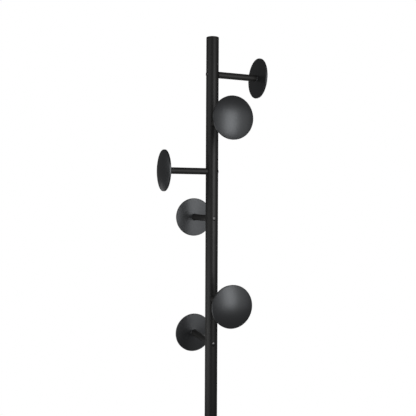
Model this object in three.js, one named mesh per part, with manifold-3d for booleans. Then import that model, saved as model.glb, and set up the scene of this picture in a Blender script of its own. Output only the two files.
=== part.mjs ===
// A standing coat rack: a round pole on a heavy round base, with domed disc hooks on short stems.
// Millimetres, +Z up. The origin is on the floor, on the axis of the pole.

import * as THREE from 'three';
import { mergeVertices } from 'three/addons/utils/BufferGeometryUtils.js';
import Module from 'manifold-3d';

// Driving dimensions

const OVERALL_HEIGHT = 1750;
const CLEARANCE = 0.3; // left between two pieces that touch or fit

const POLE_DIAMETER = 30;
const POLE_WALL = 1.5;
const UPPER_SECTION = 925; // from the top of the cap down to the seam of the pole

const CAP_FLANGE = 2;
const CAP_ROUND = 0.6;
const CAP_PLUG = 18;
const CAP_WALL = 2;

const HOOK_REACH = 120.6; // from the axis of the pole to the middle of a disc's edge
const HOOKS = [
  // drop is how far a stem lies below the top, and turn is the way it points, in degrees
  { drop: 87.5, turn: 0 },
  { drop: 205.4, turn: -90 },
  { drop: 318.7, turn: 180 },
  { drop: 431.3, turn: 90 },
  { drop: 622.4, turn: -90 },
  { drop: 730.7, turn: 90 },
];

const DISC_DIAMETER = 97;
const DISC_EDGE = 5; // thickness at the edge
const DISC_ROUND = 1.4; // of both corners of the edge
const DOME_RADIUS = 138; // of the outer face
const BACK_RISE = 2; // how far the middle of the back stands behind the edge

const STEM_DIAMETER = 15.5;
const SPIGOT_DIAMETER = 8; // the end of a stem that sits in its disc
const SPIGOT_LENGTH = 8;
const SPIGOT_CHAMFER = 0.8;

const SCREW_DIAMETER = 5; // one screw inside the pole holds each stem
const SCREW_HEAD = 8;
const SCREW_HEAD_HEIGHT = 3.5;
const SCREW_GRIP = 18; // how deep a screw goes into its stem
const SCREW_KEY = 4; // across the flats of the hexagon socket
const SCREW_KEY_DEPTH = 2;
const SCREW_CHAMFER = 0.6;

const COVER_LAP = 0.7; // of the domed cover around the hole that each screw goes in by
const COVER_RIM = 0.5; // of the cover's edge beyond the crest of the pole
const COVER_RISE = 0.6; // of the dome above that edge
const COVER_PLUG = 5; // how far the cover's plug reaches in from the crest

const STUD_DIAMETER = 10; // joins the two sections of the pole
const STUD_LENGTH = 50;
const INSERT_LENGTH = 32; // of each threaded insert pressed into the pole
const INSERT_CHAMFER = 1;

const BASE_DIAMETER = 380;
const BASE_THICKNESS = 8;
const BASE_TOP_ROUND = 3;
const BASE_LOWER_CHAMFER = 1;

const BOLT_DIAMETER = 10;
const BOLT_HEAD = 19;
const BOLT_HEAD_LAND = 0.8;
const BOLT_SUNK = 0.5; // of the head above the underside of the base
const BOLT_GRIP = 24; // how deep the bolt goes into the pole's insert
const BOLT_KEY = 6;
const BOLT_KEY_DEPTH = 3;

const PAD_COUNT = 6;
const PAD_DIAMETER = 24;
const PAD_THICKNESS = 3;
const PAD_INSET = 6; // from the rim of the base to the edge of a pad

// Facets around each kind of piece

const POLE_SIDES = 40;
const COPE_SIDES = 64;
const DISC_SIDES = 36;
const STEM_SIDES = 20;
const SCREW_SIDES = 12;
const COVER_SIDES = 16;
const INSERT_SIDES = 20;
const BASE_SIDES = 60;
const PAD_SIDES = 16;

// Sizes and places that follow from them

const poleRadius = POLE_DIAMETER / 2;
const boreRadius = poleRadius - POLE_WALL;
const insertRadius = boreRadius - CLEARANCE;
const stemRadius = STEM_DIAMETER / 2;
const screwRadius = SCREW_DIAMETER / 2;
const studRadius = STUD_DIAMETER / 2;
const boltRadius = BOLT_DIAMETER / 2;

const baseUnderside = PAD_THICKNESS + CLEARANCE;
const baseTop = baseUnderside + BASE_THICKNESS;
const poleFoot = baseTop + CLEARANCE;
const seam = OVERALL_HEIGHT - UPPER_SECTION;
const poleTop = OVERALL_HEIGHT - CAP_FLANGE - CLEARANCE;

const discRadius = DISC_DIAMETER / 2;
const discBack = HOOK_REACH - DISC_EDGE / 2;
const discFront = HOOK_REACH + DISC_EDGE / 2;
const discMiddleBack = discBack - BACK_RISE;
const stemShoulder = discMiddleBack - CLEARANCE;

// A flat head inside the round bore touches it by two points of its rim.
const headRadius = SCREW_HEAD / 2;
const screwSeat = Math.sqrt(boreRadius ** 2 - headRadius ** 2) - CLEARANCE;
const screwTip = poleRadius + SCREW_GRIP;
const accessRadius = headRadius + CLEARANCE;

// Materials

const blackCoat = { color: 0x2b2c2e, roughness: 0.45, metalness: 0 };
const discCoat = { color: 0x2f3032, roughness: 0.4, metalness: 0 };
const capPlastic = { color: 0x1d1d1e, roughness: 0.5, metalness: 0 };
const coverPlastic = { color: 0x252627, roughness: 0.3, metalness: 0 };
const zincSteel = { color: 0x9a9da1, roughness: 0.35, metalness: 1 };
const padRubber = { color: 0x1a1a1a, roughness: 0.85, metalness: 0 };

// Tools for making solids

const wasm = await Module();
wasm.setup();

// Points [radius, height] along an arc, with angles in radians from the outward direction.
function arc([centreRadius, centreHeight], radius, from, to, steps) {
  const points = [];
  for (let i = 0; i <= steps; i += 1) {
    const angle = from + ((to - from) * i) / steps;
    const across = centreRadius + radius * Math.cos(angle);
    points.push([across, centreHeight + radius * Math.sin(angle)]);
  }
  return points;
}

// A solid of revolution about +Z. The outline runs upwards on the outside, from axis to axis or
// back to its first point.
function turned(outline, sides) {
  const points = outline.map(([radius, height]) => new THREE.Vector2(radius, height));
  return new THREE.LatheGeometry(points, sides).rotateX(Math.PI / 2);
}

// The same about +X, with heights as distances along X.
function turnedAlongX(outline, sides) {
  return turned(outline, sides).rotateY(Math.PI / 2);
}

function toSolid(geometry) {
  const bare = geometry.clone();
  bare.deleteAttribute('normal');
  bare.deleteAttribute('uv');
  const merged = mergeVertices(bare, 1e-4);
  const corners = merged.index.array;
  const triangles = [];
  for (let i = 0; i < corners.length; i += 3) {
    const [a, b, c] = corners.subarray(i, i + 3);
    if (a !== b && b !== c && c !== a) triangles.push(a, b, c);
  }
  const vertProperties = merged.attributes.position.array;
  const triVerts = new Uint32Array(triangles);
  return new wasm.Manifold(new wasm.Mesh({ numProp: 3, vertProperties, triVerts }));
}

function toGeometry(solid) {
  const { vertProperties, triVerts } = solid.getMesh();
  const geometry = new THREE.BufferGeometry();
  geometry.setAttribute('position', new THREE.BufferAttribute(vertProperties, 3));
  geometry.setIndex(new THREE.BufferAttribute(triVerts, 1));
  geometry.computeVertexNormals();
  return geometry;
}

function cut(geometry, ...cutters) {
  let solid = toSolid(geometry);
  for (const cutter of cutters) solid = solid.subtract(toSolid(cutter));
  return toGeometry(solid);
}

// A six-sided bar along +Z from z = 0, for the socket of a screw.
function hexagonBar(acrossFlats, length) {
  const corner = acrossFlats / 2 / Math.cos(Math.PI / 6);
  return new THREE.CylinderGeometry(corner, corner, length, 6)
    .rotateX(Math.PI / 2)
    .translate(0, 0, length / 2);
}

const rack = new THREE.Group();

function piece(name, geometry, look, parent = rack) {
  const mesh = new THREE.Mesh(geometry, new THREE.MeshStandardMaterial(look));
  mesh.name = name;
  parent.add(mesh);
  return mesh;
}

// The pole, with its seam, inserts and cap

function tube(length) {
  return turned(
    [
      [boreRadius, 0],
      [poleRadius, 0],
      [poleRadius, length],
      [boreRadius, length],
      [boreRadius, 0],
    ],
    POLE_SIDES,
  );
}

function threadedInsert(threadRadius) {
  const hole = threadRadius + CLEARANCE;
  return turned(
    [
      [hole, 0],
      [insertRadius - INSERT_CHAMFER, 0],
      [insertRadius, INSERT_CHAMFER],
      [insertRadius, INSERT_LENGTH - INSERT_CHAMFER],
      [insertRadius - INSERT_CHAMFER, INSERT_LENGTH],
      [hole, INSERT_LENGTH],
      [hole, 0],
    ],
    INSERT_SIDES,
  );
}

// A plain round bar along +X, from one distance to another.
function barAlongX(radius, from, to, sides) {
  return turnedAlongX([[0, from], [radius, from], [radius, to], [0, to]], sides);
}

// The two holes in the pole for one hook: a small one on its stem's side, and a wide one
// opposite, that the screw and its key go in by.
function hookHoles({ drop, turn }, foot) {
  const small = barAlongX(screwRadius + CLEARANCE, 0, POLE_DIAMETER, SCREW_SIDES);
  const wide = barAlongX(accessRadius, -POLE_DIAMETER, 0, COVER_SIDES);
  return [small, wide].map((hole) => hole
    .rotateZ(THREE.MathUtils.degToRad(turn))
    .translate(0, 0, OVERALL_HEIGHT - drop - foot));
}

const upperFoot = seam + CLEARANCE / 2;
const lowerTop = seam - CLEARANCE / 2;
const upperTube = cut(
  tube(poleTop - upperFoot),
  ...HOOKS.flatMap((hook) => hookHoles(hook, upperFoot)),
);
piece('upper_tube', upperTube, blackCoat).position.z = upperFoot;
piece('lower_tube', tube(lowerTop - poleFoot), blackCoat).position.z = poleFoot;

piece('upper_insert', threadedInsert(studRadius), zincSteel).position.z = upperFoot;
piece('lower_insert', threadedInsert(studRadius), zincSteel).position.z = lowerTop - INSERT_LENGTH;
piece('foot_insert', threadedInsert(boltRadius), zincSteel).position.z = poleFoot;

const joinerStud = turned(
  [
    [0, 0],
    [studRadius - INSERT_CHAMFER, 0],
    [studRadius, INSERT_CHAMFER],
    [studRadius, STUD_LENGTH - INSERT_CHAMFER],
    [studRadius - INSERT_CHAMFER, STUD_LENGTH],
    [0, STUD_LENGTH],
  ],
  INSERT_SIDES,
);
piece('joiner_stud', joinerStud, zincSteel).position.z = seam - STUD_LENGTH / 2;

const topCap = turned(
  [
    [0, 0],
    [insertRadius - CAP_WALL, 0],
    [insertRadius - CAP_WALL, -CAP_PLUG],
    [insertRadius, -CAP_PLUG],
    [insertRadius, 0],
    [poleRadius, 0],
    ...arc([poleRadius - CAP_ROUND, CAP_FLANGE - CAP_ROUND], CAP_ROUND, 0, Math.PI / 2, 2),
    [0, CAP_FLANGE],
  ],
  POLE_SIDES,
);
piece('top_cap', topCap, capPlastic).position.z = OVERALL_HEIGHT - CAP_FLANGE;

// The hooks. Each is made along +X from the axis of the pole, then lifted and turned into place.

const stemBlank = turnedAlongX(
  [
    [0, 0],
    [stemRadius, 0],
    [stemRadius, stemShoulder],
    [SPIGOT_DIAMETER / 2, stemShoulder],
    [SPIGOT_DIAMETER / 2, stemShoulder + SPIGOT_LENGTH - SPIGOT_CHAMFER],
    [SPIGOT_DIAMETER / 2 - SPIGOT_CHAMFER, stemShoulder + SPIGOT_LENGTH],
    [0, stemShoulder + SPIGOT_LENGTH],
  ],
  STEM_SIDES,
);
const copeRadius = poleRadius + CLEARANCE;
const cope = new THREE.CylinderGeometry(copeRadius, copeRadius, POLE_DIAMETER * 2, COPE_SIDES)
  .rotateX(Math.PI / 2);
const tappedHole = barAlongX(screwRadius + CLEARANCE, 0, screwTip + CLEARANCE, SCREW_SIDES);
const stem = cut(stemBlank, cope, tappedHole);

// The dome meets the round of the edge smoothly: the small arc touches the large one.
const roundCentre = [discRadius - DISC_ROUND, discFront - DISC_ROUND];
const domeMiddle = roundCentre[1] - Math.sqrt(
  (DOME_RADIUS - DISC_ROUND) ** 2 - roundCentre[0] ** 2,
);
const domeStart = Math.acos(roundCentre[0] / (DOME_RADIUS - DISC_ROUND));
const socketRadius = SPIGOT_DIAMETER / 2 + CLEARANCE;
const socketEnd = stemShoulder + SPIGOT_LENGTH + CLEARANCE;
const backRound = [discRadius - DISC_ROUND, discBack + DISC_ROUND];
const dome = arc([0, domeMiddle], DOME_RADIUS, domeStart, Math.PI / 2, 4);
dome[dome.length - 1][0] = 0;
const disc = turnedAlongX(
  [
    [0, socketEnd],
    [socketRadius, socketEnd],
    [socketRadius, discMiddleBack],
    [stemRadius, discMiddleBack],
    ...arc(backRound, DISC_ROUND, -Math.PI / 2, 0, 2),
    ...arc(roundCentre, DISC_ROUND, 0, domeStart, 2).slice(0, -1),
    ...dome,
  ],
  DISC_SIDES,
);

const screwTop = screwSeat - SCREW_HEAD_HEIGHT;
const screwBlank = turnedAlongX(
  [
    [0, screwTop],
    [headRadius, screwTop],
    [headRadius, screwSeat],
    [screwRadius, screwSeat],
    [screwRadius, screwTip - SCREW_CHAMFER],
    [screwRadius - SCREW_CHAMFER, screwTip],
    [0, screwTip],
  ],
  SCREW_SIDES,
);
const screwSocket = hexagonBar(SCREW_KEY, SCREW_KEY_DEPTH * 2)
  .rotateY(Math.PI / 2)
  .translate(screwTop - SCREW_KEY_DEPTH, 0, 0);
const screw = cut(screwBlank, screwSocket);

// The cover's flange is hollowed to the round of the pole, and its plug fills the access hole.
const coverRadius = accessRadius + COVER_LAP;
const coverDome = (coverRadius ** 2 + COVER_RISE ** 2) / (2 * COVER_RISE);
const coverEdge = poleRadius + COVER_RIM;
const coverDomeStart = Math.acos(coverRadius / coverDome);
const coverTop = arc(
  [0, coverEdge + COVER_RISE - coverDome],
  coverDome,
  coverDomeStart,
  Math.PI / 2,
  2,
);
coverTop[coverTop.length - 1][0] = 0;
const flange = turnedAlongX([[0, 0], [coverRadius, 0], ...coverTop], COVER_SIDES);
const plug = barAlongX(
  accessRadius - CLEARANCE,
  poleRadius - COVER_PLUG,
  coverEdge,
  COVER_SIDES,
);
const screwCover = toGeometry(toSolid(flange).subtract(toSolid(cope)).add(toSolid(plug)))
  .rotateZ(Math.PI);

HOOKS.forEach(({ drop, turn }, index) => {
  const hook = new THREE.Group();
  hook.position.z = OVERALL_HEIGHT - drop;
  hook.rotation.z = THREE.MathUtils.degToRad(turn);
  rack.add(hook);
  const number = index + 1;
  piece(`stem_${number}`, stem, blackCoat, hook);
  piece(`disc_${number}`, disc, discCoat, hook);
  piece(`hook_screw_${number}`, screw, zincSteel, hook);
  piece(`screw_cover_${number}`, screwCover, coverPlastic, hook);
});

// The base, with the bolt that holds the pole and the pads under the rim

// The countersunk bolt, upwards from the bottom of its head at z = 0. Grow adds to it all round,
// for the hole that takes it, and below stretches the rim of the head downwards.
function countersunkBolt(grow = 0, below = 0) {
  const wide = BOLT_HEAD / 2 + grow;
  const shank = boltRadius + grow;
  const coneStart = BOLT_HEAD_LAND + grow * (Math.SQRT2 - 1);
  const tip = BASE_THICKNESS + BOLT_GRIP + grow;
  return turned(
    [
      [0, -below],
      [wide, -below],
      [wide, coneStart],
      [shank, coneStart + wide - shank],
      [shank, tip - INSERT_CHAMFER],
      [shank - INSERT_CHAMFER, tip],
      [0, tip],
    ],
    INSERT_SIDES,
  );
}

const baseRadius = BASE_DIAMETER / 2;
const topRoundCentre = [baseRadius - BASE_TOP_ROUND, BASE_THICKNESS - BASE_TOP_ROUND];
const basePlate = turned(
  [
    [0, 0],
    [baseRadius - BASE_LOWER_CHAMFER, 0],
    [baseRadius, BASE_LOWER_CHAMFER],
    ...arc(topRoundCentre, BASE_TOP_ROUND, 0, Math.PI / 2, 3),
    [0, BASE_THICKNESS],
  ],
  BASE_SIDES,
);
const boltHole = countersunkBolt(CLEARANCE, BASE_THICKNESS).translate(0, 0, BOLT_SUNK);
piece('base_plate', cut(basePlate, boltHole), blackCoat).position.z = baseUnderside;

const boltSocket = hexagonBar(BOLT_KEY, BOLT_KEY_DEPTH * 2).translate(0, 0, -BOLT_KEY_DEPTH);
const bolt = cut(countersunkBolt(), boltSocket);
piece('base_bolt', bolt, zincSteel).position.z = baseUnderside + BOLT_SUNK;

const padCircle = baseRadius - PAD_INSET - PAD_DIAMETER / 2;
const pad = new THREE.CylinderGeometry(
  PAD_DIAMETER / 2,
  PAD_DIAMETER / 2,
  PAD_THICKNESS,
  PAD_SIDES,
).rotateX(Math.PI / 2);
for (let i = 0; i < PAD_COUNT; i += 1) {
  const angle = (2 * Math.PI * i) / PAD_COUNT;
  const mesh = piece(`foot_pad_${i + 1}`, pad, padRubber);
  mesh.position.set(
    padCircle * Math.cos(angle),
    padCircle * Math.sin(angle),
    PAD_THICKNESS / 2,
  );
}

export default rack;
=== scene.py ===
from math import acos, atan2, cos, hypot, pi, radians, sin, sqrt

import bmesh
import bpy
from mathutils import Matrix, Vector


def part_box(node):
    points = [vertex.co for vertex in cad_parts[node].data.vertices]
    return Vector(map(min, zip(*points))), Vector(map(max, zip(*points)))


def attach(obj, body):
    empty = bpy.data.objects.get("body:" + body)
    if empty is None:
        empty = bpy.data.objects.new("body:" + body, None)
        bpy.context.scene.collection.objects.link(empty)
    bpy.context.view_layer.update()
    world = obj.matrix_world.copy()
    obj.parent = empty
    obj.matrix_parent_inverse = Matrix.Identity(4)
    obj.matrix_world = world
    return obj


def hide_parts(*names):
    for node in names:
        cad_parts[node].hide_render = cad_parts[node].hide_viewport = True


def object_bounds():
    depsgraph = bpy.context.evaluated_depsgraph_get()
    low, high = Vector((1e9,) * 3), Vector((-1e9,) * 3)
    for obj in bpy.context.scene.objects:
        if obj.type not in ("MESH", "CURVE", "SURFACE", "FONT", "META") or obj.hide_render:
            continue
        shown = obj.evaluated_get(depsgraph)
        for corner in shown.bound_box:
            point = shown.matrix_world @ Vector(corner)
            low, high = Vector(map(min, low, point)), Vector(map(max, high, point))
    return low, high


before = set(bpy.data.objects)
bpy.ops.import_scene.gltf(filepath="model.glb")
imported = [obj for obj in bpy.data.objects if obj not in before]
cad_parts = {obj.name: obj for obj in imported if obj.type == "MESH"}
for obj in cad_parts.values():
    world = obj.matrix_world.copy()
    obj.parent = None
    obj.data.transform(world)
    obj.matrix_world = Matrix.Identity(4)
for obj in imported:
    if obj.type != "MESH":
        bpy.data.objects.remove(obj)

scene = bpy.context.scene
cadLow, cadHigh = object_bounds()
scratchPieces = bpy.data.collections.new("making")
scene.collection.children.link(scratchPieces)
print("coat rack: frame loaded,", len(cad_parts), "nodes")


# The sizes that every piece shares, read from the frame.

def boxSize(node):
    low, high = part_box(node)
    return high - low


def boxMiddle(node):
    low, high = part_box(node)
    return (low + high) / 2


poleRadius = boxSize("upper_tube").x / 2
stemRadius = boxSize("stem_1").z / 2
discRadius = boxSize("disc_1").z / 2
touch = 0.00008  # left between two pieces that meet
guardGap = 0.0003
creaseAngle = radians(40)  # edges bent by more than this are shaded sharp

hooks = []
for number in range(1, 7):
    place = boxMiddle(f"disc_{number}")
    hooks.append({"number": number, "height": place.z, "turn": atan2(place.y, place.x)})
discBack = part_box("disc_1")[0].x  # the middle of a disc's back, from the pole's axis
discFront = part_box("disc_1")[1].x  # the top of its dome


# Outlines are lists of (radius, height) points.

def arcPoints(centre, radius, start, end, steps):
    angles = [start + (end - start) * i / steps for i in range(steps + 1)]
    return [(centre[0] + radius * cos(a), centre[1] + radius * sin(a)) for a in angles]


# Keeps the shading of a long flat stretch flat, by a point just inside each of its ends.
def withGuards(outline):
    points = [outline[0]]
    for (r0, z0), (r1, z1) in zip(outline, outline[1:]):
        length = hypot(r1 - r0, z1 - z0)
        if length > 6 * guardGap:
            for share in (guardGap / length, 1 - guardGap / length):
                points.append((r0 + (r1 - r0) * share, z0 + (z1 - z0) * share))
        points.append((r1, z1))
    return points


def newObject(name, mesh):
    made = bpy.data.objects.new(name, mesh)
    scratchPieces.objects.link(made)
    return made


def outlineObject(name, outline):
    mesh = bpy.data.meshes.new(name)
    edges = [(i, i + 1) for i in range(len(outline) - 1)]
    mesh.from_pydata([(r, 0, z) for r, z in outline], edges, [])
    return newObject(name, mesh)


def setInputs(modifier, values):
    for item in modifier.node_group.interface.items_tree:
        if item.in_out == "INPUT" and item.name in values:
            modifier[item.identifier] = values[item.name]


# Runs a tree on an object and returns the result as a plain mesh object.
def bake(host, tree, values, name):
    modifier = host.modifiers.new(tree.name, "NODES")
    modifier.node_group = tree
    setInputs(modifier, values)
    bpy.context.view_layer.update()
    evaluated = host.evaluated_get(bpy.context.evaluated_depsgraph_get())
    mesh = bpy.data.meshes.new_from_object(evaluated)
    host.modifiers.remove(modifier)
    return newObject(name, mesh)


def faceOutwards(mesh):
    work = bmesh.new()
    work.from_mesh(mesh)
    bmesh.ops.remove_doubles(work, verts=work.verts, dist=1e-7)
    bmesh.ops.recalc_face_normals(work, faces=work.faces)
    work.to_mesh(mesh)
    work.free()


def removeScratch(*objects):
    for old in objects:
        bpy.data.objects.remove(old, do_unlink=True)


# Shows a finished piece in place of its CAD nodes.
def finishPiece(piece, nodes):
    scratchPieces.objects.unlink(piece)
    scene.collection.objects.link(piece)
    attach(piece, "root")
    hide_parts(*nodes)


class Tree:
    def __init__(self, tree):
        self.tree = tree
        self.column = 0

    def add(self, kind, inputs=None, **settings):
        node = self.tree.nodes.new(kind)
        self.column += 180
        node.location = (self.column, 0)
        for key, value in settings.items():
            setattr(node, key, value)
        for key, value in (inputs or {}).items():
            socket = node.inputs[key]
            if isinstance(value, bpy.types.NodeSocket):
                self.tree.links.new(value, socket)
            else:
                socket.default_value = value
        return node

    def math(self, operation, first, second=0.0):
        node = self.add("ShaderNodeMath", {0: first, 1: second}, operation=operation)
        return node.outputs[0]


def newTree(name, kind, inputs, outputs):
    tree = bpy.data.node_groups.new(name, kind)
    for label, socket, value in inputs:
        made = tree.interface.new_socket(label, in_out="INPUT", socket_type=socket)
        if value is not None:
            made.default_value = value
    for label, socket in outputs:
        tree.interface.new_socket(label, in_out="OUTPUT", socket_type=socket)
    nodes = Tree(tree)
    source = nodes.add("NodeGroupInput")
    return tree, nodes, source


coatLook = {
    "orangePeel": 420.0,  # waves of the sprayed surface, in cells per metre
    "grain": 2600.0,  # fine powder grain
    "speckle": 900.0,  # dust grains
    "smudge": 9.0,  # wide patches of dust and gloss
    "grainSize": (0.05, 0.22),  # where a dust grain begins to fade, and where it ends
    "smudgeSpan": (0.35, 0.7),  # where a patch begins, and where it is full
    "peelShare": 0.7,  # of the height, and the rest is powder grain
}


def buildCoatGroup():
    tree, nodes, source = newTree(
        "sprayed coat",
        "ShaderNodeTree",
        [
            ("Base", "NodeSocketColor", (0.03, 0.03, 0.03, 1)),
            ("Light", "NodeSocketColor", (0.05, 0.05, 0.05, 1)),
            ("Roughness", "NodeSocketFloat", 0.4),
            ("Uneven", "NodeSocketFloat", 0.04),
            ("Dust", "NodeSocketFloat", 0.04),
        ],
        [
            ("Color", "NodeSocketColor"),
            ("Roughness", "NodeSocketFloat"),
            ("Height", "NodeSocketFloat"),
        ],
    )
    where = nodes.add("ShaderNodeTexCoord").outputs["Object"]
    peel = nodes.add("ShaderNodeTexNoise", {
        "Vector": where, "Scale": coatLook["orangePeel"], "Detail": 2.0, "Roughness": 0.45,
    })
    grain = nodes.add("ShaderNodeTexNoise", {
        "Vector": where, "Scale": coatLook["grain"], "Detail": 1.0, "Roughness": 0.6,
    })
    speckle = nodes.add("ShaderNodeTexVoronoi", {
        "Vector": where, "Scale": coatLook["speckle"], "Randomness": 1.0,
    })
    smudge = nodes.add("ShaderNodeTexNoise", {
        "Vector": where, "Scale": coatLook["smudge"], "Detail": 3.0, "Roughness": 0.55,
    })
    full, gone = coatLook["grainSize"]
    dots = nodes.add("ShaderNodeMapRange", {
        "Value": speckle.outputs["Distance"], "From Min": full, "From Max": gone,
        "To Min": 1.0, "To Max": 0.0,
    }).outputs["Result"]
    dotShare = nodes.math("MULTIPLY", dots, source.outputs["Dust"])
    begins, whole = coatLook["smudgeSpan"]
    patch = nodes.add("ShaderNodeMapRange", {
        "Value": smudge.outputs["Fac"], "From Min": begins, "From Max": whole,
    }).outputs["Result"]
    patchShare = nodes.math("MULTIPLY", patch, source.outputs["Dust"])
    share = nodes.math("ADD", dotShare, patchShare)
    color = nodes.add("ShaderNodeMix", {0: share}, data_type="RGBA", clamp_factor=True)
    tree.links.new(source.outputs["Base"], color.inputs[6])
    tree.links.new(source.outputs["Light"], color.inputs[7])
    waves = nodes.math("SUBTRACT", smudge.outputs["Fac"], 0.5)
    fine = nodes.math("SUBTRACT", grain.outputs["Fac"], 0.5)
    both = nodes.math("ADD", waves, fine)
    swing = nodes.math("MULTIPLY", both, source.outputs["Uneven"])
    rough = nodes.math("ADD", swing, source.outputs["Roughness"])
    peelShare = coatLook["peelShare"]
    peelHigh = nodes.math("MULTIPLY", peel.outputs["Fac"], peelShare)
    grainHigh = nodes.math("MULTIPLY", grain.outputs["Fac"], 1 - peelShare)
    height = nodes.math("ADD", peelHigh, grainHigh)
    end = nodes.add("NodeGroupOutput")
    tree.links.new(color.outputs[2], end.inputs["Color"])
    tree.links.new(rough, end.inputs["Roughness"])
    tree.links.new(height, end.inputs["Height"])
    return tree


coatGroup = buildCoatGroup()


def coatMaterial(name, look):
    material = bpy.data.materials.new(name)
    material.use_nodes = True
    tree = material.node_tree
    shader = tree.nodes["Principled BSDF"]
    coat = tree.nodes.new("ShaderNodeGroup")
    coat.node_tree = coatGroup
    for label in ("Base", "Light"):
        coat.inputs[label].default_value = (*look[label.lower()], 1)
    for label in ("Roughness", "Uneven", "Dust"):
        coat.inputs[label].default_value = look[label.lower()]
    bump = tree.nodes.new("ShaderNodeBump")
    bump.inputs["Strength"].default_value = look["bump"]
    bump.inputs["Distance"].default_value = look["bumpDepth"]
    tree.links.new(coat.outputs["Color"], shader.inputs["Base Color"])
    tree.links.new(coat.outputs["Roughness"], shader.inputs["Roughness"])
    tree.links.new(coat.outputs["Height"], bump.inputs["Height"])
    tree.links.new(bump.outputs["Normal"], shader.inputs["Normal"])
    shader.inputs["Metallic"].default_value = look.get("metallic", 0.0)
    shader.inputs["Specular IOR Level"].default_value = look.get("specular", 0.5)
    shader.inputs["Specular Tint"].default_value = (*look.get("specularTint", (1, 1, 1)), 1)
    return material


poleCoat = coatMaterial("pole_coat", {
    "base": (0.017, 0.0168, 0.0163), "light": (0.05, 0.05, 0.05),
    "roughness": 0.42, "uneven": 0.05, "dust": 0.05, "bump": 0.12, "bumpDepth": 0.0002,
})
# The stems' coat. Its base is lighter than the pole's as painted light, standing in for light
# that falls on the stems.
stemCoatWithPaintedLight = coatMaterial("stem_coat", {
    "base": (0.030, 0.0297, 0.029), "light": (0.05, 0.05, 0.05),
    "roughness": 0.52, "uneven": 0.05, "dust": 0.05, "bump": 0.12, "bumpDepth": 0.0002,
})
# The discs' coat, shinier than the pole's. Its bluish base and the blue tint of its
# reflections are painted light: the colour of a cool light on the discs.
discCoatWithPaintedLight = coatMaterial("disc_coat", {
    "base": (0.030, 0.0307, 0.0323), "light": (0.05, 0.05, 0.052),
    "roughness": 0.33, "uneven": 0.05, "dust": 0.05, "bump": 0.12, "bumpDepth": 0.0002,
    "specular": 1.0, "specularTint": (0.925, 0.96, 1.0),
})
baseCoat = coatMaterial("base_coat", {
    "base": (0.017, 0.0168, 0.0165), "light": (0.06, 0.06, 0.058),
    "roughness": 0.45, "uneven": 0.06, "dust": 0.09, "bump": 0.16, "bumpDepth": 0.0002,
})
capPlastic = coatMaterial("cap_plastic", {
    "base": (0.008, 0.0075, 0.0075), "light": (0.03, 0.03, 0.03),
    "roughness": 0.55, "uneven": 0.08, "dust": 0.05, "bump": 0.2, "bumpDepth": 0.0001,
    "specular": 0.25,
})
coverPlastic = coatMaterial("cover_plastic", {
    "base": (0.014, 0.014, 0.014), "light": (0.04, 0.04, 0.04),
    "roughness": 0.16, "uneven": 0.05, "dust": 0.03, "bump": 0.06, "bumpDepth": 0.0001,
    "specular": 1.0,
})
zincSteel = coatMaterial("zinc_steel", {
    "base": (0.52, 0.53, 0.55), "light": (0.62, 0.62, 0.6),
    "roughness": 0.34, "uneven": 0.12, "dust": 0.3, "bump": 0.1, "bumpDepth": 0.0001,
    "metallic": 1.0,
})
padRubber = coatMaterial("pad_rubber", {
    "base": (0.010, 0.010, 0.010), "light": (0.05, 0.048, 0.045),
    "roughness": 0.82, "uneven": 0.1, "dust": 0.15, "bump": 0.5, "bumpDepth": 0.0002,
})
print("coat rack: materials made")


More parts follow.
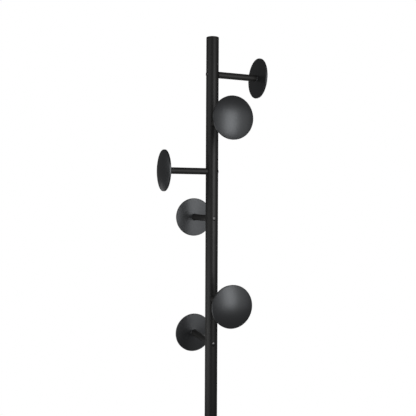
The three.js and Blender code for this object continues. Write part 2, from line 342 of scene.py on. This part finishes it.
# Turns an outline round the Z axis, as a lathe does.
def buildTurnTree():
    tree, nodes, source = newTree(
        "turned piece",
        "GeometryNodeTree",
        [
            ("Geometry", "NodeSocketGeometry", None),
            ("Sides", "NodeSocketInt", 64),
            ("Lie Down", "NodeSocketFloat", 0.0),
            ("Crease", "NodeSocketFloat", creaseAngle),
            ("Material", "NodeSocketMaterial", None),
        ],
        [("Geometry", "NodeSocketGeometry")],
    )
    outline = source.outputs["Geometry"]
    count = nodes.add("GeometryNodeAttributeDomainSize", {"Geometry": outline})
    around = nodes.math("ADD", source.outputs["Sides"], 1.0)
    grid = nodes.add("GeometryNodeMeshGrid", {
        "Vertices X": count.outputs["Point Count"], "Vertices Y": around,
    })
    index = nodes.add("GeometryNodeInputIndex").outputs["Index"]
    row = nodes.math("FLOOR", nodes.math("DIVIDE", nodes.math("ADD", index, 0.5), around))
    column = nodes.math("SUBTRACT", index, nodes.math("MULTIPLY", row, around))
    position = nodes.add("GeometryNodeInputPosition").outputs["Position"]
    point = nodes.add("GeometryNodeSampleIndex", data_type="FLOAT_VECTOR", domain="POINT")
    tree.links.new(outline, point.inputs["Geometry"])
    tree.links.new(position, point.inputs["Value"])
    tree.links.new(row, point.inputs["Index"])
    parts = nodes.add("ShaderNodeSeparateXYZ", {0: point.outputs[0]})
    share = nodes.math("DIVIDE", column, source.outputs["Sides"])
    angle = nodes.math("MULTIPLY", share, 2 * pi)
    across = nodes.math("MULTIPLY", parts.outputs["X"], nodes.math("COSINE", angle))
    along = nodes.math("MULTIPLY", parts.outputs["X"], nodes.math("SINE", angle))
    placed = nodes.add("ShaderNodeCombineXYZ", {
        "X": across, "Y": along, "Z": parts.outputs["Z"],
    })
    shaped = nodes.add("GeometryNodeSetPosition", {
        "Geometry": grid.outputs["Mesh"], "Position": placed.outputs[0],
    })
    welded = nodes.add("GeometryNodeMergeByDistance", {
        "Geometry": shaped.outputs[0], "Distance": 1e-6,
    })
    lean = nodes.add("ShaderNodeCombineXYZ", {"Y": source.outputs["Lie Down"]})
    laid = nodes.add("GeometryNodeTransform", {
        "Geometry": welded.outputs[0], "Rotation": lean.outputs[0],
    })
    smooth = nodes.add("GeometryNodeSetShadeSmooth", {
        "Geometry": laid.outputs[0], "Shade Smooth": True,
    }, domain="FACE")
    bend = nodes.add("GeometryNodeInputMeshEdgeAngle").outputs["Unsigned Angle"]
    isSharp = nodes.math("GREATER_THAN", bend, source.outputs["Crease"])
    creased = nodes.add("GeometryNodeSetShadeSmooth", {
        "Geometry": smooth.outputs[0], "Selection": isSharp, "Shade Smooth": False,
    }, domain="EDGE")
    real = nodes.add("GeometryNodeRealizeInstances", {"Geometry": creased.outputs[0]})
    painted = nodes.add("GeometryNodeSetMaterial", {
        "Geometry": real.outputs[0], "Material": source.outputs["Material"],
    })
    end = nodes.add("NodeGroupOutput")
    tree.links.new(painted.outputs[0], end.inputs["Geometry"])
    return tree


turnTree = buildTurnTree()


def turnedPiece(name, outline, material, sides, alongX=False):
    host = outlineObject(name + "_outline", withGuards(outline))
    made = bake(host, turnTree, {
        "Sides": sides, "Lie Down": pi / 2 if alongX else 0.0, "Crease": creaseAngle,
        "Material": material,
    }, name)
    removeScratch(host)
    faceOutwards(made.data)
    return made


# Sets a piece at all the hooks' places, or at one of them.
def buildHookTree():
    tree, nodes, source = newTree(
        "set at hooks",
        "GeometryNodeTree",
        [
            ("Geometry", "NodeSocketGeometry", None),
            ("Hook Places", "NodeSocketObject", None),
            ("All", "NodeSocketBool", True),
            ("Only", "NodeSocketInt", 0),
            ("Material", "NodeSocketMaterial", None),
        ],
        [("Geometry", "NodeSocketGeometry")],
    )
    places = nodes.add("GeometryNodeObjectInfo", {"Object": source.outputs["Hook Places"]})
    turn = nodes.add("GeometryNodeInputNamedAttribute", {"Name": "turn"}, data_type="FLOAT")
    spin = nodes.add("ShaderNodeCombineXYZ", {"Z": turn.outputs["Attribute"]})
    index = nodes.add("GeometryNodeInputIndex").outputs["Index"]
    chosen = nodes.add("FunctionNodeCompare", data_type="INT", operation="EQUAL")
    tree.links.new(index, chosen.inputs[2])
    tree.links.new(source.outputs["Only"], chosen.inputs[3])
    wanted = nodes.add("FunctionNodeBooleanMath", {
        0: chosen.outputs[0], 1: source.outputs["All"],
    }, operation="OR")
    copies = nodes.add("GeometryNodeInstanceOnPoints", {
        "Points": places.outputs["Geometry"], "Selection": wanted.outputs[0],
        "Instance": source.outputs["Geometry"], "Rotation": spin.outputs[0],
    })
    real = nodes.add("GeometryNodeRealizeInstances", {"Geometry": copies.outputs[0]})
    painted = nodes.add("GeometryNodeSetMaterial", {
        "Geometry": real.outputs[0], "Material": source.outputs["Material"],
    })
    end = nodes.add("NodeGroupOutput")
    tree.links.new(painted.outputs[0], end.inputs["Geometry"])
    return tree


hookTree = buildHookTree()


def hookPlaces():
    mesh = bpy.data.meshes.new("hook_places")
    mesh.from_pydata([(0, 0, hook["height"]) for hook in hooks], [], [])
    turn = mesh.attributes.new("turn", "FLOAT", "POINT")
    for item, hook in zip(turn.data, hooks):
        item.value = hook["turn"]
    return newObject("hook_places", mesh)


places = hookPlaces()


def atHook(blank, index, material, name):
    return bake(blank, hookTree, {
        "Hook Places": places, "All": False, "Only": index, "Material": material,
    }, name)


def atAllHooks(blank, material, name):
    return bake(blank, hookTree, {
        "Hook Places": places, "All": True, "Material": material,
    }, name)


poleSize = {
    "wall": 0.0015,
    "sides": 128,
    "endRound": 0.00035,
    "endSteps": 4,
    "accessHole": 0.0043,  # radius of the hole behind each cover
    "screwHole": 0.0028,
    "holeSides": 48,
}


def tubeOutline(low, high):
    inner = poleRadius - poleSize["wall"]
    r, steps = poleSize["endRound"], poleSize["endSteps"]
    return [
        (inner, low), (poleRadius - r, low),
        *arcPoints((poleRadius - r, low + r), r, -pi / 2, 0, steps)[1:],
        *arcPoints((poleRadius - r, high - r), r, 0, pi / 2, steps),
        (inner, high), (inner, low),
    ]


# Drills the holes of all hooks through the pole.
def buildDrillTree():
    tree, nodes, source = newTree(
        "drilled pole",
        "GeometryNodeTree",
        [
            ("Geometry", "NodeSocketGeometry", None),
            ("Hook Places", "NodeSocketObject", None),
            ("Small Hole", "NodeSocketFloat", poleSize["screwHole"]),
            ("Wide Hole", "NodeSocketFloat", poleSize["accessHole"]),
            ("Reach", "NodeSocketFloat", 0.03),
            ("Material", "NodeSocketMaterial", None),
        ],
        [("Geometry", "NodeSocketGeometry")],
    )
    reach = source.outputs["Reach"]
    half = nodes.math("MULTIPLY", reach, 0.5)
    drills = []
    for label, side in (("Small Hole", 1.0), ("Wide Hole", -1.0)):
        bar = nodes.add("GeometryNodeMeshCylinder", {
            "Vertices": poleSize["holeSides"], "Radius": source.outputs[label],
            "Depth": reach,
        })
        shift = nodes.add("ShaderNodeCombineXYZ", {"X": nodes.math("MULTIPLY", half, side)})
        laid = nodes.add("GeometryNodeTransform", {
            "Geometry": bar.outputs["Mesh"], "Rotation": (0, pi / 2, 0),
            "Translation": shift.outputs[0],
        })
        drills.append(laid.outputs[0])
    places = nodes.add("GeometryNodeObjectInfo", {"Object": source.outputs["Hook Places"]})
    turn = nodes.add("GeometryNodeInputNamedAttribute", {"Name": "turn"}, data_type="FLOAT")
    spin = nodes.add("ShaderNodeCombineXYZ", {"Z": turn.outputs["Attribute"]})
    cut = source.outputs["Geometry"]
    for drill in drills:
        copies = nodes.add("GeometryNodeInstanceOnPoints", {
            "Points": places.outputs["Geometry"], "Instance": drill,
            "Rotation": spin.outputs[0],
        })
        bars = nodes.add("GeometryNodeRealizeInstances", {"Geometry": copies.outputs[0]})
        hole = nodes.add("GeometryNodeMeshBoolean", {"Mesh 1": cut},
                         operation="DIFFERENCE", solver="EXACT")
        tree.links.new(bars.outputs[0], hole.inputs["Mesh 2"])
        cut = hole.outputs["Mesh"]
    real = nodes.add("GeometryNodeRealizeInstances", {"Geometry": cut})
    painted = nodes.add("GeometryNodeSetMaterial", {
        "Geometry": real.outputs[0], "Material": source.outputs["Material"],
    })
    end = nodes.add("NodeGroupOutput")
    tree.links.new(painted.outputs[0], end.inputs["Geometry"])
    return tree


tubeShading = {
    "sharp": radians(30),
    "level": 0.999,  # a wall's normal is at least this level
    "inLine": 0.98,  # and points this nearly straight out or straight in
    "near": 0.0001,  # its middle is nearer than this to the wall's radius
}


# Gives the walls of a tube exact round shading, whatever their faces look like.
def shadeTube(mesh):
    inner = poleRadius - poleSize["wall"]
    mesh.shade_smooth()
    mesh.set_sharp_from_angle(angle=tubeShading["sharp"])
    normals = [Vector(corner.vector) for corner in mesh.corner_normals]
    for face in mesh.polygons:
        flat = Vector((face.normal.x, face.normal.y, 0))
        if flat.length < tubeShading["level"]:
            continue
        middle = Vector((face.center.x, face.center.y, 0))
        offWall = min(abs(middle.length - poleRadius), abs(middle.length - inner))
        inLine = abs(flat.normalized().dot(middle.normalized()))
        if offWall >= tubeShading["near"] or inLine < tubeShading["inLine"]:
            continue
        side = 1 if flat.dot(middle) > 0 else -1
        for loop in face.loop_indices:
            corner = mesh.vertices[mesh.loops[loop].vertex_index].co
            normals[loop] = Vector((corner.x, corner.y, 0)).normalized() * side
    mesh.normals_split_custom_set(normals)


def makePole():
    seam = (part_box("upper_tube")[0].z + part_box("lower_tube")[1].z) / 2
    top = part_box("top_cap")[1].z - capSize["flange"] - touch
    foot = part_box("base_plate")[1].z + touch
    upper = turnedPiece("upper_blank", tubeOutline(seam + touch, top), poleCoat,
                        poleSize["sides"])
    drilled = bake(upper, buildDrillTree(), {
        "Hook Places": places, "Small Hole": poleSize["screwHole"],
        "Wide Hole": poleSize["accessHole"], "Reach": 2 * poleRadius,
        "Material": poleCoat,
    }, "pole_upper")
    removeScratch(upper)
    faceOutwards(drilled.data)
    shadeTube(drilled.data)
    finishPiece(drilled, ["upper_tube"])
    lower = turnedPiece("pole_lower", tubeOutline(foot, seam - touch), poleCoat,
                        poleSize["sides"])
    finishPiece(lower, ["lower_tube"])


capSize = {
    "flange": 0.002,
    "round": 0.0003,
    "roundSteps": 6,
    "lowerRound": 0.0002,
    "lowerSteps": 3,
    "plugWall": 0.002,
    "sides": 128,
}


def makeCap():
    low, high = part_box("top_cap")
    plug = poleRadius - poleSize["wall"] - touch
    under = high.z - capSize["flange"]
    r, lower = capSize["round"], capSize["lowerRound"]
    outline = [
        (0, under), (plug - capSize["plugWall"], under),
        (plug - capSize["plugWall"], low.z), (plug, low.z), (plug, under),
        *arcPoints((poleRadius - lower, under + lower), lower, -pi / 2, 0,
                   capSize["lowerSteps"]),
        *arcPoints((poleRadius - r, high.z - r), r, 0, pi / 2, capSize["roundSteps"]),
        (0, high.z),
    ]
    cap = turnedPiece("cap", outline, capPlastic, capSize["sides"])
    finishPiece(cap, ["top_cap"])


makePole()
makeCap()
print("coat rack: pole and cap made")


# Skins a row of rings, each a list of points, and closes both ends to a point.
def ringSkin(name, rings, firstPoint, lastPoint, material):
    work = bmesh.new()
    count = len(rings[0])
    rows = [[work.verts.new(point) for point in ring] for ring in rings]
    first, last = work.verts.new(firstPoint), work.verts.new(lastPoint)
    for i in range(count):
        j = (i + 1) % count
        work.faces.new((first, rows[0][j], rows[0][i]))
        work.faces.new((last, rows[-1][i], rows[-1][j]))
        for low, high in zip(rows, rows[1:]):
            work.faces.new((low[i], low[j], high[j], high[i]))
    bmesh.ops.recalc_face_normals(work, faces=work.faces)
    for face in work.faces:
        face.smooth = True
    for edge in work.edges:
        edge.smooth = edge.calc_face_angle(0) < creaseAngle
    mesh = bpy.data.meshes.new(name)
    work.to_mesh(mesh)
    work.free()
    mesh.materials.append(material)
    return newObject(name, mesh)


# A ring of points about the X axis. Along gives x from y, or is a plain distance.
def ringAlongX(radius, along, sides):
    points = []
    for i in range(sides):
        angle = 2 * pi * i / sides
        y, z = radius * cos(angle), radius * sin(angle)
        points.append((along(y) if callable(along) else along, y, z))
    return points


def onPole(gap):
    return lambda y: sqrt((poleRadius + gap) ** 2 - y * y)


stemSize = {
    "sides": 72,
    "chamfer": 0.0004,
    "holeRadius": 0.0028,
    "spigotRadius": 0.004,
    "spigotLength": 0.008,
    "straightFrom": 0.022,  # past here the rings no longer follow the pole
    "guard": 0.0004,
}
discSize = {
    "edge": 0.005,
    "edgeRound": 0.0014,
    "backRise": 0.002,  # how far the middle of the back stands behind the edge
    "fillet": 0.0014,  # round the stem, on the back
    "filletEdge": 0.0001,
    "roundSteps": 6,
    "sides": 144,
    "domeSteps": 26,
}


def makeStemBlank():
    sides, c, guard = stemSize["sides"], stemSize["chamfer"], stemSize["guard"]
    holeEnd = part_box("hook_screw_1")[1].x + touch
    shoulder = discBack - touch
    spigotEnd = shoulder + stemSize["spigotLength"]

    def ring(radius, along):
        return ringAlongX(radius, along, sides)

    hole, spigot = stemSize["holeRadius"], stemSize["spigotRadius"]
    return ringSkin("stem_blank", [
        ring(hole, holeEnd), ring(hole, holeEnd - guard),
        ring(hole, onPole(touch + guard)), ring(hole, onPole(touch)),
        ring(hole + guard, onPole(touch)), ring(stemRadius - c - guard, onPole(touch)),
        ring(stemRadius - c, onPole(touch)), ring(stemRadius, onPole(touch + c)),
        ring(stemRadius, onPole(touch + c + guard)),
        ring(stemRadius, stemSize["straightFrom"]),
        ring(stemRadius, shoulder - guard), ring(stemRadius, shoulder),
        ring(stemRadius - guard, shoulder), ring(spigot + guard, shoulder),
        ring(spigot, shoulder), ring(spigot, shoulder + guard),
        ring(spigot, spigotEnd - c), ring(spigot - c, spigotEnd),
    ], (holeEnd, 0, 0), (spigotEnd, 0, 0), stemCoatWithPaintedLight)


def discOutline():
    r, edgeBack = discSize["edgeRound"], discBack + discSize["backRise"]
    edgeFront = edgeBack + discSize["edge"]
    socket = stemSize["spigotRadius"] + touch
    socketEnd = discBack + stemSize["spigotLength"] + touch
    middle = (discRadius - r, edgeFront - r)  # of the round at the front of the edge
    rise = discFront - middle[1]
    domeRadius = (middle[0] ** 2 + rise ** 2 - r ** 2) / (2 * (rise - r))
    domeMiddle = (0, discFront - domeRadius)
    domeStart = acos(middle[0] / (domeRadius - r))
    dome = arcPoints(domeMiddle, domeRadius, domeStart, pi / 2, discSize["domeSteps"])
    dome[-1] = (0, discFront)
    fillet, filletEdge = discSize["fillet"], discSize["filletEdge"]
    backTurn = atan2(discSize["backRise"], discRadius - stemRadius - fillet)
    steps = discSize["roundSteps"]
    collar = stemRadius + touch
    return [
        (0, socketEnd), (socket, socketEnd), (socket, discBack), (collar, discBack),
        (collar, discBack - fillet), (collar + filletEdge, discBack - fillet),
        *arcPoints((collar + filletEdge + fillet, discBack - fillet), fillet, pi,
                   pi / 2 + backTurn, steps)[1:],
        *arcPoints((discRadius - r, edgeBack + r), r, -pi / 2 + backTurn, 0, steps),
        *arcPoints(middle, r, 0, domeStart, steps)[:-1],
        *dome,
    ]


def makeHooks():
    stem = makeStemBlank()
    disc = turnedPiece("disc_blank", discOutline(), discCoatWithPaintedLight, discSize["sides"],
                       alongX=True)
    for i, hook in enumerate(hooks):
        number = hook["number"]
        finishPiece(atHook(stem, i, stemCoatWithPaintedLight, f"hook_stem_{number}"),
                    [f"stem_{number}"])
        finishPiece(atHook(disc, i, discCoatWithPaintedLight, f"hook_disc_{number}"),
                    [f"disc_{number}"])
    removeScratch(stem, disc)


makeHooks()
print("coat rack: hooks made")

coverSize = {
    "lap": 0.0007,
    "rim": 0.0002,  # of the cover's edge beyond the crest of the pole
    "edgeRound": 0.0001,
    "edgeSteps": 3,
    "guard": 0.0002,
    "domeSteps": 8,
    "sides": 64,
}


# The covers point along -X, away from their stems.
def makeCovers():
    sides, guard = coverSize["sides"], coverSize["guard"]
    radius = poleSize["accessHole"] + coverSize["lap"]
    top = -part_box("screw_cover_1")[0].x
    plugEnd = -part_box("screw_cover_1")[1].x
    plug = poleSize["accessHole"] - touch
    rim = poleRadius + coverSize["rim"]
    r = coverSize["edgeRound"]
    rise = top - (rim - r)
    domeRadius = ((radius - r) ** 2 + rise ** 2 - r ** 2) / (2 * (rise - r))
    domeStart = acos((radius - r) / (domeRadius - r))
    outer = [
        *arcPoints((radius - r, rim - r), r, 0, domeStart, coverSize["edgeSteps"])[:-1],
        *arcPoints((0, top - domeRadius), domeRadius, domeStart, pi / 2,
                   coverSize["domeSteps"])[:-1],
    ]
    rings = [
        ringAlongX(plug - guard, plugEnd, sides),
        ringAlongX(plug, plugEnd + guard, sides),
        ringAlongX(plug, onPole(touch - guard), sides),
        ringAlongX(plug, onPole(touch), sides),
        ringAlongX(radius, onPole(touch), sides),
        ringAlongX(radius, onPole(touch + guard), sides),
        *[ringAlongX(across, along, sides) for across, along in outer],
    ]
    blank = ringSkin("cover_blank", rings, (plugEnd, 0, 0), (top, 0, 0), coverPlastic)
    for vertex in blank.data.vertices:
        vertex.co = (-vertex.co.x, -vertex.co.y, vertex.co.z)
    covers = atAllHooks(blank, coverPlastic, "hook_screw_covers")
    removeScratch(blank)
    finishPiece(covers, [f"screw_cover_{hook['number']}" for hook in hooks])


makeCovers()
print("coat rack: screw covers made")

baseSize = {
    "topRound": 0.003,
    "topSteps": 14,
    "lowerRound": 0.001,
    "lowerSteps": 6,
    "sides": 256,
    "boltGap": 0.0002,
}
boltSize = {
    "shank": 0.005,
    "head": 0.0095,
    "land": 0.0008,
    "key": 0.003,  # half of the distance across the flats
    "keyDepth": 0.003,
    "chamfer": 0.001,
    "guard": 0.0002,
    "sides": 72,
}


def makeBase():
    low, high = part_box("base_plate")
    radius = (high.x - low.x) / 2
    gap = baseSize["boltGap"]
    hole, wide = boltSize["shank"] + gap, boltSize["head"] + gap
    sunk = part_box("base_bolt")[0].z
    coneFoot = sunk + boltSize["land"] + gap * (sqrt(2) - 1)
    r, lower = baseSize["topRound"], baseSize["lowerRound"]
    outline = [
        (hole, high.z), (hole, coneFoot + wide - hole), (wide, coneFoot), (wide, low.z),
        *arcPoints((radius - lower, low.z + lower), lower, -pi / 2, 0,
                   baseSize["lowerSteps"]),
        *arcPoints((radius - r, high.z - r), r, 0, pi / 2, baseSize["topSteps"]),
        (hole, high.z),
    ]
    plate = turnedPiece("base", outline, baseCoat, baseSize["sides"])
    finishPiece(plate, ["base_plate"])


# The hexagon's corners fall on points of the ring, because six divides the sides.
def hexRing(half, height, sides):
    points = []
    for i in range(sides):
        angle = 2 * pi * i / sides
        off = (angle + pi / 6) % (pi / 3) - pi / 6
        radius = half / cos(off)
        points.append((radius * cos(angle), radius * sin(angle), height))
    return points


def levelRing(radius, height, sides):
    return [(radius * cos(2 * pi * i / sides), radius * sin(2 * pi * i / sides), height)
            for i in range(sides)]


def makeBolt():
    low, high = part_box("base_bolt")
    sides, chamfer = boltSize["sides"], boltSize["chamfer"]
    head, shank, guard = boltSize["head"], boltSize["shank"], boltSize["guard"]
    coneFoot = low.z + boltSize["land"]
    coneTop = coneFoot + head - shank
    keyTop = low.z + boltSize["keyDepth"]
    bolt = ringSkin("bolt", [
        hexRing(boltSize["key"], keyTop, sides), hexRing(boltSize["key"], low.z, sides),
        levelRing(head - guard, low.z, sides), levelRing(head, low.z + guard, sides),
        levelRing(head, coneFoot, sides), levelRing(shank, coneTop, sides),
        levelRing(shank, high.z - chamfer, sides),
        levelRing(shank - chamfer, high.z, sides),
    ], (0, 0, keyTop), (0, 0, high.z), zincSteel)
    finishPiece(bolt, ["base_bolt"])


# Sets pads round the base.
def buildRingTree():
    tree, nodes, source = newTree(
        "pads in a ring",
        "GeometryNodeTree",
        [
            ("Geometry", "NodeSocketGeometry", None),
            ("Count", "NodeSocketInt", 6),
            ("Ring Radius", "NodeSocketFloat", 0.172),
            ("Material", "NodeSocketMaterial", None),
        ],
        [("Geometry", "NodeSocketGeometry")],
    )
    ring = nodes.add("GeometryNodeMeshCircle", {
        "Vertices": source.outputs["Count"], "Radius": source.outputs["Ring Radius"],
    })
    copies = nodes.add("GeometryNodeInstanceOnPoints", {
        "Points": ring.outputs[0], "Instance": source.outputs["Geometry"],
    })
    real = nodes.add("GeometryNodeRealizeInstances", {"Geometry": copies.outputs[0]})
    painted = nodes.add("GeometryNodeSetMaterial", {
        "Geometry": real.outputs[0], "Material": source.outputs["Material"],
    })
    end = nodes.add("NodeGroupOutput")
    tree.links.new(painted.outputs[0], end.inputs["Geometry"])
    return tree


padSize = {
    "count": 6,
    "round": 0.0008,
    "roundSteps": 5,
    "dish": 0.0003,  # hollow in the middle of the underside
    "dishSpan": (0.62, 0.7),  # where its flat and its slope end, in shares of the radius
    "sides": 72,
}


def makePads():
    low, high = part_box("foot_pad_1")
    radius, ringRadius = (high.y - low.y) / 2, (low.x + high.x) / 2
    top, r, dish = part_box("base_plate")[0].z - touch, padSize["round"], padSize["dish"]
    flatEnd, slopeEnd = (radius * share for share in padSize["dishSpan"])
    outline = [
        (0, low.z + dish), (flatEnd, low.z + dish), (slopeEnd, low.z),
        *arcPoints((radius - r, low.z + r), r, -pi / 2, 0, padSize["roundSteps"]),
        (radius, top), (0, top),
    ]
    blank = turnedPiece("pad_blank", outline, padRubber, padSize["sides"])
    pads = bake(blank, buildRingTree(), {
        "Count": padSize["count"], "Ring Radius": ringRadius, "Material": padRubber,
    }, "floor_pads")
    removeScratch(blank)
    finishPiece(pads, [f"foot_pad_{i + 1}" for i in range(padSize["count"])])


makeBase()
makeBolt()
makePads()
print("coat rack: base made")

# The parts inside the pole keep their CAD shapes.
insideParts = ("hook_screw_", "upper_insert", "lower_insert", "foot_insert", "joiner_stud")
for name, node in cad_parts.items():
    if name.startswith(insideParts):
        node.data.materials.clear()
        node.data.materials.append(zincSteel)

removeScratch(places)
print("coat rack: all pieces made")


# The camera stands left of the front, at a height between the third hook and the fourth.
cameraLook = {
    "turn": 22.07,  # degrees round the pole from the front
    "distance": 1.395,
    "aside": -0.0091,
    "belowTop": 0.383,
    "sensor": 36,
    "lens": 50.4,
    "down": 0.95,  # degrees below level
    "roll": 0.27,
}
cameraTurn = radians(cameraLook["turn"])
towardsCamera = Vector((-sin(cameraTurn), -cos(cameraTurn), 0))
cameraRight = Vector((-towardsCamera.y, towardsCamera.x, 0))


def makeCamera():
    data = bpy.data.cameras.new("camera")
    camera = bpy.data.objects.new("camera", data)
    scene.collection.objects.link(camera)
    data.sensor_width = cameraLook["sensor"]
    data.lens = cameraLook["lens"]
    place = towardsCamera * cameraLook["distance"] + cameraRight * cameraLook["aside"]
    camera.location = (place.x, place.y, cadHigh.z - cameraLook["belowTop"])
    facing = Matrix.Rotation(-cameraTurn, 3, "Z")
    upright = Matrix.Rotation(radians(90 - cameraLook["down"]), 3, "X")
    tilt = Matrix.Rotation(radians(cameraLook["roll"]), 3, "Z")
    camera.rotation_euler = (facing @ upright @ tilt).to_euler()
    scene.camera = camera


# Turn is in degrees from the camera's direction, positive towards the camera's right.
lightLook = {
    "key": {"turn": 36, "distance": 1.4, "height": 1.45, "width": 0.55, "tall": 1.05,
            "energy": 4.3, "aim": 1.3},
    "wide_key": {"turn": 43, "distance": 1.4, "height": 1.44, "width": 1.9, "tall": 1.3,
                 "energy": 3.8, "aim": 1.3},
    "low_side": {"turn": -60, "distance": 1.4, "height": 0.75, "width": 2.1, "tall": 0.6,
                 "energy": 5.3, "aim": 1.3},
    "high_side": {"turn": -60, "distance": 1.4, "height": 1.85, "width": 2.1, "tall": 0.6,
                  "energy": 3.2, "aim": 1.3},
    "left_back": {"turn": -145, "distance": 1.6, "height": 0.75, "width": 1.0, "tall": 0.9,
                  "energy": 1.2, "aim": 1.1},
    "right_back": {"turn": 170, "distance": 2.0, "height": 1.3, "width": 0.8, "tall": 1.4,
                   "energy": 8, "aim": 1.1},
}


def makeLight(name, look):
    data = bpy.data.lights.new(name, "AREA")
    data.shape = "RECTANGLE"
    data.size, data.size_y = look["width"], look["tall"]
    data.energy = look["energy"]
    light = bpy.data.objects.new(name, data)
    scene.collection.objects.link(light)
    turn = radians(look["turn"])
    place = (towardsCamera * cos(turn) + cameraRight * sin(turn)) * look["distance"]
    light.location = (place.x, place.y, look["height"])
    aim = Vector((0, 0, look["aim"])) - light.location
    light.rotation_euler = aim.to_track_quat("-Z", "Y").to_euler()
    light.visible_camera = False
    return light


# Lights only the floor, the base and the cap, from above, so the floor stays pale.
floorLightLook = {"height": 4.0, "size": 4.0, "energy": 170}


def makeFloorLight(*lit):
    data = bpy.data.lights.new("floor_light", "AREA")
    data.size = floorLightLook["size"]
    data.energy = floorLightLook["energy"]
    light = bpy.data.objects.new("floor_light", data)
    scene.collection.objects.link(light)
    light.location = (0, 0, floorLightLook["height"])
    light.visible_camera = False
    receivers = bpy.data.collections.new("lit from above")
    for piece in lit:
        receivers.objects.link(piece)
    light.light_linking.receiver_collection = receivers


worldLook = {"seen": 1.0, "fill": 0.075}  # strength behind the rack, and as light on it


def makeWorld():
    world = bpy.data.worlds.new("studio")
    world.use_nodes = True
    scene.world = world
    tree = world.node_tree
    dim = tree.nodes["Background"]
    dim.inputs["Color"].default_value = (1, 1, 1, 1)
    dim.inputs["Strength"].default_value = worldLook["fill"]
    bright = tree.nodes.new("ShaderNodeBackground")
    bright.inputs["Color"].default_value = (1, 1, 1, 1)
    bright.inputs["Strength"].default_value = worldLook["seen"]
    path = tree.nodes.new("ShaderNodeLightPath")
    mix = tree.nodes.new("ShaderNodeMixShader")
    tree.links.new(path.outputs["Is Camera Ray"], mix.inputs[0])
    tree.links.new(dim.outputs[0], mix.inputs[1])
    tree.links.new(bright.outputs[0], mix.inputs[2])
    tree.links.new(mix.outputs[0], tree.nodes["World Output"].inputs["Surface"])


floorLook = {
    "radius": 2.0,
    "thickness": 0.01,
    "clouds": 3.0,
    "tone": (0.74, 0.8),
    "roughness": 0.9,
    "sides": 128,
}


# The floor is lit, but it sends no light back to the rack.
def makeFloor():
    material = bpy.data.materials.new("floor_paint")
    material.use_nodes = True
    tree = material.node_tree
    shader = tree.nodes["Principled BSDF"]
    cloud = tree.nodes.new("ShaderNodeTexNoise")
    cloud.inputs["Scale"].default_value = floorLook["clouds"]
    where = tree.nodes.new("ShaderNodeTexCoord")
    ramp = tree.nodes.new("ShaderNodeMapRange")
    for label, tone in zip(("To Min", "To Max"), floorLook["tone"]):
        ramp.inputs[label].default_value = tone
    tree.links.new(where.outputs["Object"], cloud.inputs["Vector"])
    tree.links.new(cloud.outputs["Fac"], ramp.inputs["Value"])
    tree.links.new(ramp.outputs["Result"], shader.inputs["Base Color"])
    shader.inputs["Roughness"].default_value = floorLook["roughness"]
    radius, under = floorLook["radius"], -floorLook["thickness"]
    host = outlineObject("floor_outline", [(0, under), (radius, under), (radius, 0), (0, 0)])
    floor = bake(host, turnTree, {"Sides": floorLook["sides"], "Material": material}, "floor")
    removeScratch(host)
    faceOutwards(floor.data)
    scratchPieces.objects.unlink(floor)
    scene.collection.objects.link(floor)
    floor.visible_diffuse = floor.visible_glossy = False
    return floor


makeCamera()
for name, look in lightLook.items():
    makeLight(name + "_light", look)
makeWorld()
makeFloorLight(makeFloor(), bpy.data.objects["base"], bpy.data.objects["cap"])
scene.view_settings.view_transform = "Standard"
scene.collection.children.unlink(scratchPieces)
print("coat rack: camera, lights and floor made")

bpy.context.view_layer.update()
